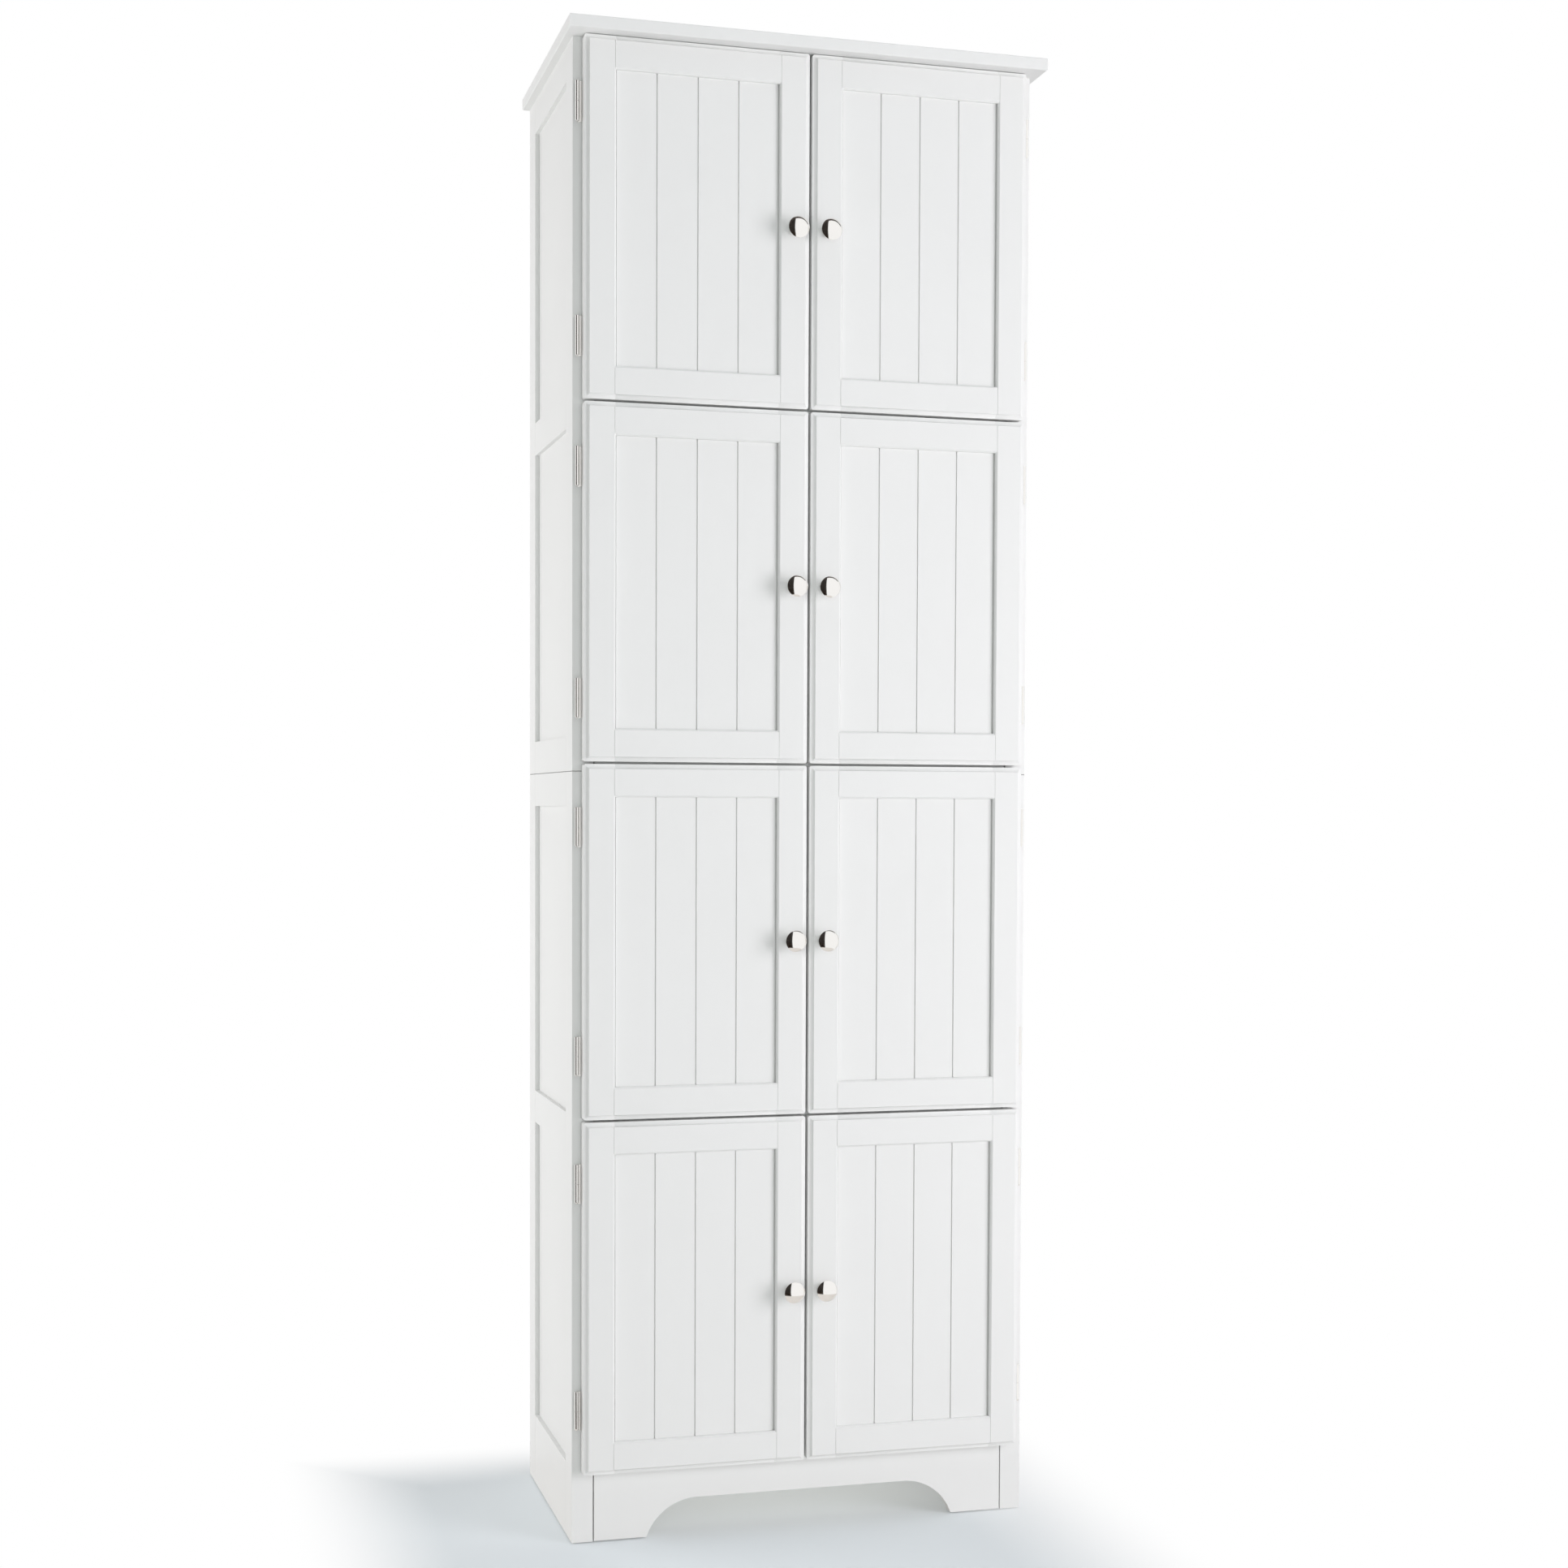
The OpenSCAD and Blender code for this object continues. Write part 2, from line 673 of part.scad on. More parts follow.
// Each cam lies in a shelf's underside and holds the head of a bolt from the side rail
module cam_fittings() {
    color(zinc)
    for (side = SIDES, row = [0 : row_count - 1])
        on_side(side)
        at_cams(row) {
            difference() {
                translate([cam_setback, 0, -shelf_t / 2]) cylinder(d = cam_d, h = cam_h);
                rotate([0, 90, 0]) cylinder(d = bore_d, h = cam_setback + fitting_clearance);
            }
            translate([-bolt_embed + fitting_clearance, 0, 0]) rotate([0, 90, 0])
                cylinder(d = bolt_d, h = bolt_embed + cam_setback - fitting_clearance);
        }
}

module dowels() {
    color(beech)
    translate([0, front_y, 0]) {
        post_dowel_places(post_top) dowel(top_t - dowel_cover);
        post_dowel_places(seam_z) dowel(dowel_l);
    }
    color(beech)
    apron_dowel_places() rotate([90, 0, 0]) dowel(apron_t - dowel_cover);
}

// A dowel from the depth of its hole on the near side to the depth on the far side
module dowel(far) {
    translate([0, 0, fitting_clearance - dowel_l])
        cylinder(d = dowel_d, h = dowel_l + far - 2 * fitting_clearance);
}

module glides() {
    color(plastic)
    for (side = SIDES, end = ENDS)
        on_side(side)
        translate([post_w / 2, post_y(end) + post_d / 2, 0]) cylinder(d = glide_d, h = glide_t);
}

top_board();
post("lower", "left", "front");  // lower_left_front_post
post("lower", "left", "back");  // lower_left_back_post
post("lower", "right", "front");  // lower_right_front_post
post("lower", "right", "back");  // lower_right_back_post
post("upper", "left", "front");  // upper_left_front_post
post("upper", "left", "back");  // upper_left_back_post
post("upper", "right", "front");  // upper_right_front_post
post("upper", "right", "back");  // upper_right_back_post
side_rails("lower", "left");  // lower_left_side_rails
side_rails("lower", "right");  // lower_right_side_rails
side_rails("upper", "left");  // upper_left_side_rails
side_rails("upper", "right");  // upper_right_side_rails
side_panels("lower");  // lower_side_panels
side_panels("upper");  // upper_side_panels
shelf(0);  // bottom_shelf
shelf(1);  // lower_shelf
shelf(2);  // middle_shelf
shelf(3);  // upper_shelf
apron();
back_panel("lower");  // lower_back_panel
back_panel("upper");  // upper_back_panel
frame_hinge_leaves();
hinge_pins();
door_catches();
cam_fittings();
dowels();
glides();
door_frame(0, "left");  // bottom_left_door_frame
door_panel(0, "left");  // bottom_left_door_panel
door_knob(0, "left");  // bottom_left_door_knob
door_hinge_leaves(0, "left");  // bottom_left_door_hinge_leaves
door_frame(0, "right");  // bottom_right_door_frame
door_panel(0, "right");  // bottom_right_door_panel
door_knob(0, "right");  // bottom_right_door_knob
door_hinge_leaves(0, "right");  // bottom_right_door_hinge_leaves
door_frame(1, "left");  // lower_left_door_frame
door_panel(1, "left");  // lower_left_door_panel
door_knob(1, "left");  // lower_left_door_knob
door_hinge_leaves(1, "left");  // lower_left_door_hinge_leaves
door_frame(1, "right");  // lower_right_door_frame
door_panel(1, "right");  // lower_right_door_panel
door_knob(1, "right");  // lower_right_door_knob
door_hinge_leaves(1, "right");  // lower_right_door_hinge_leaves
door_frame(2, "left");  // upper_left_door_frame
door_panel(2, "left");  // upper_left_door_panel
door_knob(2, "left");  // upper_left_door_knob
door_hinge_leaves(2, "left");  // upper_left_door_hinge_leaves
door_frame(2, "right");  // upper_right_door_frame
door_panel(2, "right");  // upper_right_door_panel
door_knob(2, "right");  // upper_right_door_knob
door_hinge_leaves(2, "right");  // upper_right_door_hinge_leaves
door_frame(3, "left");  // top_left_door_frame
door_panel(3, "left");  // top_left_door_panel
door_knob(3, "left");  // top_left_door_knob
door_hinge_leaves(3, "left");  // top_left_door_hinge_leaves
door_frame(3, "right");  // top_right_door_frame
door_panel(3, "right");  // top_right_door_panel
door_knob(3, "right");  // top_right_door_knob
door_hinge_leaves(3, "right");  // top_right_door_hinge_leaves
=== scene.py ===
# %% [markdown]
# A tall painted cabinet with eight doors. It could be modelled anew in Blender, but the packed
# CAD model already holds every board, rail, panel, hinge leaf and knob at its real size and on
# its real joint. So this script loads the construction and dresses it: it gives each piece its
# finish, softens the sharp edges, adds the small hardware that the construction leaves out, and
# lights the whole in a plain studio. Everything is in metres, with the front of the cabinet
# towards -Y. Loading leaves every piece selected, and an operator acts on all that is selected,
# so everything is deselected first.

# %% Load the construction
import math

import bpy
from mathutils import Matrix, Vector
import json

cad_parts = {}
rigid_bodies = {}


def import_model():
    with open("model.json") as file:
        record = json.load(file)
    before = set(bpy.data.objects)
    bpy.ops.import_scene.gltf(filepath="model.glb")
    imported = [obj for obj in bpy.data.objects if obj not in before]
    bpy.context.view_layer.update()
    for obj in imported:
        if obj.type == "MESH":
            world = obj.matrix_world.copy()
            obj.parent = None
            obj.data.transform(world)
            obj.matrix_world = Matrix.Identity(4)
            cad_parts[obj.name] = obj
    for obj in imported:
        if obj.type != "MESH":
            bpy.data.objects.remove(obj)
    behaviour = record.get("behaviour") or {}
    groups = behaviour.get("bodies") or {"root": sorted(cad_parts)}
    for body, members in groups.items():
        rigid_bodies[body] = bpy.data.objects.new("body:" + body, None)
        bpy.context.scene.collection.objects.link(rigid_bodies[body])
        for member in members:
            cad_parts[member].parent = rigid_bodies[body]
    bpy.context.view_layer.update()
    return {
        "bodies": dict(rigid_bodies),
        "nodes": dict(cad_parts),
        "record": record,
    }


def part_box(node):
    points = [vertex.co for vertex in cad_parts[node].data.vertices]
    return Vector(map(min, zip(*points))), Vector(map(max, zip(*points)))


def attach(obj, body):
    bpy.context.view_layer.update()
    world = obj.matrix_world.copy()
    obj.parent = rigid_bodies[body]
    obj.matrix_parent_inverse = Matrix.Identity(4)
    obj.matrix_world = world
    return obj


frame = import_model()
nodes = frame["nodes"]
bpy.ops.object.select_all(action="DESELECT")

# %% [markdown]
# The camera stands a little to the left of the cabinet, at chest height, and looks almost level.
# Placed by eye it would never line up with the picture, so its place, angles and lens were solved
# from the edges of the doors, the posts and the top board in the photograph. Tilting it up to see
# the top would make the verticals lean, so its lens is shifted instead, as is done for pictures
# of furniture.

# %% Camera
CAMERA_PLACE = (-0.79833, -2.91853, 0.89527)
CAMERA_ANGLES = (87.9388, -0.2231, -15.4984)
CAMERA_LENS = 53.7523
CAMERA_SENSOR_WIDTH = 36.0
CAMERA_SHIFT_Y = 0.07

camera_data = bpy.data.cameras.new("photo_camera")
camera_data.sensor_width = CAMERA_SENSOR_WIDTH
camera_data.lens = CAMERA_LENS
camera_data.shift_y = CAMERA_SHIFT_Y
camera = bpy.data.objects.new("photo_camera", camera_data)
camera.location = CAMERA_PLACE
camera.rotation_euler = [math.radians(a) for a in CAMERA_ANGLES]
bpy.context.scene.collection.objects.link(camera)
bpy.context.scene.camera = camera
print("camera at", CAMERA_PLACE, "lens", CAMERA_LENS)

# %% [markdown]
# Colours are written as they look on a screen, in hexadecimal, because that is how they are read
# off a picture. Shaders work in linear light, where the same numbers would come out too pale, so
# one helper converts them.

# %% Colour helper
def linear(hex_colour):
    """A screen colour such as "ededed" as linear red, green, blue and alpha (sRGB curve)."""
    parts = [int(hex_colour[i:i + 2], 16) / 255 for i in (0, 2, 4)]
    light = [p / 12.92 if p <= 0.04045 else ((p + 0.055) / 1.055) ** 2.4 for p in parts]
    return (*light, 1.0)


print("paint white in linear light:", [round(c, 3) for c in linear("eeeeed")[:3]])

# %% [markdown]
# Materials are trees of nodes, and the same few wirings come back in all of them: a group with
# its sockets, a sum, a noise. They could be drawn one by one in the editor, but a helper for each
# keeps the script short and gives every wiring one place to change.

# %% Node helpers
def new_group(name, inputs, outputs):
    """A shader group with (name, default) float inputs and named float outputs."""
    group = bpy.data.node_groups.new(name, "ShaderNodeTree")
    for label, default in inputs:
        socket = group.interface.new_socket(label, in_out="INPUT", socket_type="NodeSocketFloat")
        socket.default_value = default
    for label in outputs:
        group.interface.new_socket(label, in_out="OUTPUT", socket_type="NodeSocketFloat")
    return group, group.nodes.new("NodeGroupInput"), group.nodes.new("NodeGroupOutput")


def math_node(tree, operation, a, b=None):
    """A Math node whose inputs are numbers or sockets."""
    node = tree.nodes.new("ShaderNodeMath")
    node.operation = operation
    for socket, value in zip(node.inputs, (a, b)):
        if isinstance(value, bpy.types.NodeSocket):
            tree.links.new(value, socket)
        elif value is not None:
            socket.default_value = value
    return node.outputs[0]


def noise_node(tree, vector, scale, detail):
    """A Noise texture whose scale is a number or a socket, in cells to the metre."""
    node = tree.nodes.new("ShaderNodeTexNoise")
    node.inputs["Detail"].default_value = detail
    tree.links.new(vector, node.inputs["Vector"])
    if isinstance(scale, bpy.types.NodeSocket):
        tree.links.new(scale, node.inputs["Scale"])
    else:
        node.inputs["Scale"].default_value = scale
    return node.outputs["Fac"]


def object_coordinates(tree):
    """The piece's own coordinates, in metres."""
    return tree.nodes.new("ShaderNodeTexCoord").outputs["Object"]


print("node helpers ready")

# %% [markdown]
# Sprayed paint has a skin: a fine orange peel that breaks up what it mirrors, and a slow drift in
# sheen where the film is thicker or thinner. An image would need unwrapping and would repeat. Two
# noises on Object coordinates need neither, and because those coordinates are metres here, their
# scales are real sizes. Several finishes share the effect, so it is a node group that is built
# once.

# %% Sprayed paint group
PEEL_DETAIL = 2.0
FILM_SCALE, FILM_DETAIL, FILM_MIDDLE = 7.0, 3.0, 0.5

paint_skin, skin_in, skin_out = new_group(
    "paint_skin", [("Peel Scale", 420.0), ("Roughness", 0.4), ("Drift", 0.06)],
    ["Height", "Roughness", "Tone"])
skin_place = object_coordinates(paint_skin)
peel = noise_node(paint_skin, skin_place, skin_in.outputs["Peel Scale"], PEEL_DETAIL)
film = noise_node(paint_skin, skin_place, FILM_SCALE, FILM_DETAIL)
film_offset = math_node(paint_skin, "SUBTRACT", film, FILM_MIDDLE)
film_drift = math_node(paint_skin, "MULTIPLY", film_offset, skin_in.outputs["Drift"])
paint_skin.links.new(peel, skin_out.inputs["Height"])
paint_skin.links.new(math_node(paint_skin, "ADD", film_drift, skin_in.outputs["Roughness"]),
                     skin_out.inputs["Roughness"])
paint_skin.links.new(film, skin_out.inputs["Tone"])
print("group:", paint_skin.name)

# %% [markdown]
# Plated metal and bare wood both have a grain, fine across and long along it. A wave texture
# would be too even, so this group draws one noise out along Z until its spots become lines. It is
# shared too.

# %% Brushed grain group
GRAIN_DETAIL = 3.0


def split(tree, vector):
    """The three numbers of a vector, by the names X, Y and Z."""
    parts = tree.nodes.new("ShaderNodeSeparateXYZ")
    tree.links.new(vector, parts.inputs[0])
    return parts.outputs


grain_lines, grain_in, grain_out = new_group(
    "grain_lines", [("Across", 900.0), ("Along", 25.0)], ["Height"])
grain_parts = split(grain_lines, object_coordinates(grain_lines))
grain_join = grain_lines.nodes.new("ShaderNodeCombineXYZ")
for axis, label in zip("XYZ", ("Across", "Across", "Along")):
    grain_lines.links.new(
        math_node(grain_lines, "MULTIPLY", grain_parts[axis], grain_in.outputs[label]),
        grain_join.inputs[axis])
grain_noise = noise_node(grain_lines, grain_join.outputs[0], scale=1.0, detail=GRAIN_DETAIL)
grain_lines.links.new(grain_noise, grain_out.inputs["Height"])
print("group:", grain_lines.name)

# %% [markdown]
# Every finish is one material with one Principled shader, which serves paint, plastic, wood and
# metal alike. A new kind of shader for each would be harder to compare. One helper starts the
# material, and the other sets one of the groups in it, with that finish's own values.

# %% Material helpers
def new_material(name, roughness=0.5, metallic=0.0):
    """An empty material with its Principled shader, and its node tree."""
    material = bpy.data.materials.new(name)
    material.use_nodes = True
    shader = material.node_tree.nodes["Principled BSDF"]
    shader.inputs["Roughness"].default_value = roughness
    shader.inputs["Metallic"].default_value = metallic
    return material, material.node_tree, shader


def place_group(tree, group, **values):
    """The group in this material, with its inputs set by name."""
    node = tree.nodes.new("ShaderNodeGroup")
    node.node_tree = group
    for label, value in values.items():
        node.inputs[label.replace("_", " ")].default_value = value
    return node


print("material helpers ready")

# %% [markdown]
# A real finish is never one flat colour, so its colour is mixed between two near shades. Its skin
# or grain is too fine to model, so it is a bump, whose depth is a real one, in metres. Every
# visible shape is in the mesh.

# %% Shade and bump helpers
def between(tree, factor, shade_a, shade_b):
    """A colour between two, as far as factor says. Each is a colour or a socket."""
    mix = tree.nodes.new("ShaderNodeMix")
    mix.data_type = "RGBA"
    for label, shade in (("A", shade_a), ("B", shade_b)):
        if isinstance(shade, bpy.types.NodeSocket):
            tree.links.new(shade, mix.inputs[label])
        else:
            mix.inputs[label].default_value = shade
    tree.links.new(factor, mix.inputs["Factor"])
    return mix.outputs["Result"]


def mix_shades(tree, factor, shade_a, shade_b, shader):
    """Base colour between two shades, as far as factor says."""
    tree.links.new(between(tree, factor, shade_a, shade_b), shader.inputs["Base Color"])


def add_bump(tree, height, depth, shader):
    """A bump of that depth in metres."""
    bump = tree.nodes.new("ShaderNodeBump")
    bump.inputs["Strength"].default_value = 1.0
    bump.inputs["Distance"].default_value = depth
    tree.links.new(height, bump.inputs["Height"])
    tree.links.new(bump.outputs["Normal"], shader.inputs["Normal"])


print("shade and bump helpers ready")

# %% [markdown]
# The cabinet is wood sprayed with a satin white enamel, and its back boards are faced hardboard,
# a little duller. A pure white would burn out under the lamps and lose its edges, so the paint is
# a very light grey. Its two shades are so close that the change is felt more than seen.

# %% Painted wood
def painted(name, shade_a, shade_b, roughness, peel_depth):
    """Sprayed paint between two near shades, with its peel in metres."""
    material, tree, shader = new_material(name)
    skin = place_group(tree, paint_skin, Roughness=roughness)
    mix_shades(tree, skin.outputs["Tone"], linear(shade_a), linear(shade_b), shader)
    tree.links.new(skin.outputs["Roughness"], shader.inputs["Roughness"])
    add_bump(tree, skin.outputs["Height"], peel_depth, shader)
    return material


white_paint = painted("white_paint", "f1f1f0", "eeeeed", roughness=0.42, peel_depth=0.00002)
back_board = painted("back_board", "e9e9e6", "e4e4e1", roughness=0.6, peel_depth=0.00003)
print("materials:", white_paint.name, back_board.name)

# %% [markdown]
# The two sections of the cabinet stand on each other, and the seam between them shows as a thin
# grey line of shadow. The solids have a fine V groove there, whose shadow alone looks too faint
# from a few steps away, so that shadow is painted into the paint's colour. An image could draw
# it, but a mask needs no unwrapping: it darkens the groove by its height in Object coordinates.
# It acts only outside the middle shelf's outline and behind the doors, so that no shelf and no
# door gets the painted shadow.

# %% Painted shadow in the seam between the sections
SEAM_Z, SEAM_HALF = 0.9405, 0.00045
SHELF_HALF_X, SHELF_MID_Y, SHELF_HALF_Y = 0.2726, 0.0221, 0.1541
DOOR_BACK_Y = -0.134
# The colour of the painted shadow in the seam's groove.
SEAM_SHADE = "7c7a78"


def chain(tree, operation, first, *others):
    """One value out of several numbers or sockets, taken two at a time."""
    for other in others:
        first = math_node(tree, operation, first, other)
    return first


def off_by(tree, value, middle):
    """How far a coordinate lies from a value, either way."""
    return math_node(tree, "ABSOLUTE", math_node(tree, "SUBTRACT", value, middle))


seam_tree = white_paint.node_tree
seam_parts = split(seam_tree, object_coordinates(seam_tree))
outside_shelf = chain(
    seam_tree, "MAXIMUM",
    math_node(seam_tree, "GREATER_THAN", off_by(seam_tree, seam_parts["X"], 0.0), SHELF_HALF_X),
    math_node(seam_tree, "GREATER_THAN", off_by(seam_tree, seam_parts["Y"], SHELF_MID_Y),
              SHELF_HALF_Y))
behind_doors = math_node(seam_tree, "GREATER_THAN", seam_parts["Y"], DOOR_BACK_Y)
at_seam = math_node(seam_tree, "LESS_THAN", off_by(seam_tree, seam_parts["Z"], SEAM_Z), SEAM_HALF)
# The mask of the painted shadow: the groove's height, outside the shelf and behind the doors.
seam_shadow_mask = chain(seam_tree, "MULTIPLY", at_seam, outside_shelf, behind_doors)
seam_shader = seam_tree.nodes["Principled BSDF"]
paint_shade = seam_shader.inputs["Base Color"].links[0].from_socket
mix_shades(seam_tree, seam_shadow_mask, paint_shade, linear(SEAM_SHADE), seam_shader)
print("seam shaded at", SEAM_Z, "m")

# %% [markdown]
# Knobs and hinges are nickel plated and polished, so they mirror what stands round them, with a
# low roughness and hardly any grain. The strike plates and the screws behind the knobs are zinc,
# which is greyer and duller. One helper makes both, because plated metals differ only in colour,
# sheen and grain.

# %% Metals
def brushed_metal(name, colour, roughness, grain_depth):
    """A metal with fine grain along Z, whose depth is in metres."""
    material, tree, shader = new_material(name, roughness, metallic=1.0)
    shader.inputs["Base Color"].default_value = linear(colour)
    grain = place_group(tree, grain_lines, Across=1400.0, Along=120.0)
    add_bump(tree, grain.outputs["Height"], grain_depth, shader)
    return material


nickel = brushed_metal("nickel", "f4f2ef", roughness=0.11, grain_depth=0.000002)
zinc = brushed_metal("zinc", "b9bbbd", roughness=0.4, grain_depth=0.00001)
print("materials:", nickel.name, zinc.name)

# %% [markdown]
# Catches and glides are moulded plastic, whose skin is finer and more even than paint, so they
# take the same skin group at a smaller scale. The dowels are bare beech, two browns that the
# grain group mixes.

# %% Plastics and bare wood
MOULD_SKIN_DEPTH = 0.00001
BEECH_GRAIN_DEPTH = 0.00005


def moulded(name, shade_a, shade_b, roughness):
    """Moulded plastic between two near shades."""
    material, tree, shader = new_material(name)
    skin = place_group(tree, paint_skin, Peel_Scale=1500.0, Roughness=roughness, Drift=0.1)
    mix_shades(tree, skin.outputs["Tone"], linear(shade_a), linear(shade_b), shader)
    tree.links.new(skin.outputs["Roughness"], shader.inputs["Roughness"])
    add_bump(tree, skin.outputs["Height"], MOULD_SKIN_DEPTH, shader)
    return material


white_plastic = moulded("white_plastic", "e6e6e2", "dededa", roughness=0.45)
grey_plastic = moulded("grey_plastic", "4a4a4c", "3e3e40", roughness=0.5)

beech, beech_tree, beech_shader = new_material("beech", roughness=0.6)
beech_grain = place_group(beech_tree, grain_lines, Across=700.0, Along=40.0)
beech_height = beech_grain.outputs["Height"]
mix_shades(beech_tree, beech_height, linear("d8b98c"), linear("b98f5f"), beech_shader)
add_bump(beech_tree, beech_height, BEECH_GRAIN_DEPTH, beech_shader)
print("materials:", white_plastic.name, grey_plastic.name, beech.name)

# %% [markdown]
# Each CAD node names its finish in the record. Sixty lines could say the same by hand, but one
# loop that reads the record dresses them all and can't disagree with it.

# %% Dress the CAD nodes
finishes = {"white_paint": white_paint, "back_board": back_board, "nickel": nickel, "zinc": zinc,
            "white_plastic": white_plastic, "grey_plastic": grey_plastic, "beech": beech}
slot_of = {row["node"]: row["material_slot"] for row in frame["record"]["subparts"]}
for name, cad_object in nodes.items():
    cad_object.data.materials.clear()
    cad_object.data.materials.append(finishes[slot_of[name]])
print("dressed", len(nodes), "nodes")

# %% [markdown]
# Sanding and paint round every arris of a board a little, and that thin round catches the light.
# In the solids it would cost many faces, so it is made by modifiers. The CAD meshes are loose
# triangles, so a Weld joins them first, and a Bevel then rounds only the edges where faces meet
# at a real angle.

# %% Soften the boards
WELD_DISTANCE = 0.00001
SHARP_ANGLE = math.radians(28)
ARRIS_WIDTH, ARRIS_SEGMENTS = 0.0005, 2
SOFTENED = ("_post", "_side_rails", "_door_frame", "apron")


def soften(cad_object):
    """A rounded arris along every sharp edge of a board."""
    weld = cad_object.modifiers.new("weld", "WELD")
    weld.merge_threshold = WELD_DISTANCE
    bevel = cad_object.modifiers.new("arris", "BEVEL")
    bevel.width = ARRIS_WIDTH
    bevel.segments = ARRIS_SEGMENTS
    bevel.limit_method = "ANGLE"
    bevel.angle_limit = SHARP_ANGLE


boards = [cad_object for name, cad_object in nodes.items() if name.endswith(SOFTENED)]
for board in boards:
    soften(board)
print("softened boards:", len(boards))

# %% [markdown]
# The construction leaves out the small hardware, which shows when the doors are open: the screws
# of the hinges, the strike plates and the knobs' screws on the doors' backs, and the magnets in
# the catches. Pushing single vertices about would be slow and hard to repeat, so each kind is
# made from a primitive, with its rim rounded by a Bevel that is applied at once.

# %% Modelling helpers
RIM_ANGLE = math.radians(50)
RIM_SEGMENTS = 3


def clear_selection():
    """Deselect everything, as before each new primitive."""
    bpy.ops.object.select_all(action="DESELECT")


def apply_modifiers(piece):
    """Turn every modifier of the piece into mesh."""
    clear_selection()
    piece.select_set(True)
    bpy.context.view_layer.objects.active = piece
    for modifier in list(piece.modifiers):
        bpy.ops.object.modifier_apply(modifier=modifier.name)
    return piece


def bevel_rim(piece, width, segments=RIM_SEGMENTS):
    """Round the piece's sharp rims."""
    bevel = piece.modifiers.new("rim", "BEVEL")
    bevel.width = width
    bevel.segments = segments
    bevel.limit_method = "ANGLE"
    bevel.angle_limit = RIM_ANGLE
    return apply_modifiers(piece)


print("rims are rounded where faces meet at over", round(math.degrees(RIM_ANGLE)), "degrees")

# %% [markdown]
# A furniture screw ends in a small head with a cross recess. Its thread is buried, so only the
# head is made: a short cylinder with its upper rim rounded into a low dome, and two thin boxes
# cut from it, one along and one across. A Boolean gives the recess its true walls, which a bump
# could not.

# %% Screw head
HEAD_SIDES, DOME_SEGMENTS = 36, 4
# The cutter of the recess, in widths of its slot.
SLOT_LENGTH, SLOT_DEPTH = 5.0, 1.6


def screw_head(name, radius, height, dome, slot):
    """A round head whose face is at z = 0, with a cross recess whose arms are slot wide."""
    clear_selection()
    bpy.ops.mesh.primitive_cylinder_add(vertices=HEAD_SIDES, radius=radius, depth=height,
                                        location=(0, 0, -height / 2))
    head = bpy.context.object
    head.name = name
    bevel_rim(head, dome, DOME_SEGMENTS)
    for turn in (0, 90):
        clear_selection()
        bpy.ops.mesh.primitive_cube_add(size=1.0, location=(0, 0, 0),
                                        rotation=(0, 0, math.radians(turn)))
        cutter = bpy.context.object
        cutter.scale = (slot * SLOT_LENGTH, slot, slot * SLOT_DEPTH)
        bpy.ops.object.transform_apply(location=True, rotation=True, scale=True)
        cut = head.modifiers.new("recess", "BOOLEAN")
        cut.object = cutter
        apply_modifiers(head)
        bpy.data.objects.remove(cutter)
    return head


flat_screw = screw_head("flat_screw", radius=0.00165, height=0.0009, dome=0.0002, slot=0.0004)
print("screw head:", len(flat_screw.data.polygons), "faces")

# %% [markdown]
# The same screw sits in many places. An array can't follow them, so the pattern stands once at
# the origin, facing +Z, and each copy gets its own mesh, is turned and laid where the CAD's boxes
# say, and joins its neighbours into one piece. The piece then rides on its door or on the carcass
# when the joints move.

# %% Copies of a pattern
SMOOTH_ANGLE = math.radians(35)


def lay_copies(name, source, places, finish):
    """Copies of the source at each (place, turn about X in degrees), joined into one piece."""
    copies = []
    for place, turn in places:
        copy = bpy.data.objects.new(name, source.data.copy())
        bpy.context.scene.collection.objects.link(copy)
        copy.location = place
        copy.rotation_euler = (math.radians(turn), 0, 0)
        copies.append(copy)
    clear_selection()
    for copy in copies:
        copy.select_set(True)
    bpy.context.view_layer.objects.active = copies[0]
    bpy.ops.object.transform_apply(location=True, rotation=True, scale=True)
    if len(copies) > 1:
        bpy.ops.object.join()
    piece = bpy.context.object
    piece.name = name
    piece.data.materials.clear()
    piece.data.materials.append(finish)
    bpy.ops.object.shade_smooth_by_angle(angle=SMOOTH_ANGLE)
    return piece


def carry(piece, body):
    """Let the piece ride on a body."""
    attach(piece, body)


doors = sorted(body for body in frame["bodies"] if body.endswith("_door"))
print("doors:", ", ".join(doors))

# %% [markdown]
# Every hinge leaf is held by two countersunk screws that lie flush in it. Their places could be
# typed in, but measured from the leaves' boxes they stay right: 7 mm from the leaf's edge, and 12
# mm above and below the middle of the hinge. The door's leaf shows its screws towards the back,
# and the frame's leaf towards the front.

# %% Hinge screws
HINGE_HALF = 0.024
SCREW_FROM_EDGE = 0.007
SCREW_RISE = 0.012
LEAF_T = 0.001
FACE_BACK, FACE_FRONT = -90, 90

post_front = float(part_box("frame_hinge_leaves")[1][1])
frame_places = []
for door in doors:
    low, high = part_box(door + "_hinge_leaves")
    screw_x = float(high[0] if "_left_" in door else low[0])
    screw_x += -SCREW_FROM_EDGE if "_left_" in door else SCREW_FROM_EDGE
    places = []
    for middle in (float(low[2]) + HINGE_HALF, float(high[2]) - HINGE_HALF):
        for rise in (-SCREW_RISE, SCREW_RISE):
            places.append(((screw_x, float(high[1]), middle + rise), FACE_BACK))
            frame_places.append(((screw_x, post_front - LEAF_T, middle + rise), FACE_FRONT))
    carry(lay_copies(door + "_hinge_screws", flat_screw, places, nickel), door)
carry(lay_copies("frame_hinge_screws", flat_screw, frame_places, nickel), "carcass")
print("hinge screws:", 2 * len(frame_places))

# %% [markdown]
# A strike plate, a pole and a magnet are all small blocks with rounded edges, so one helper makes
# them from a cube. The screw behind a knob is the screw head once more, larger and with a higher
# dome.

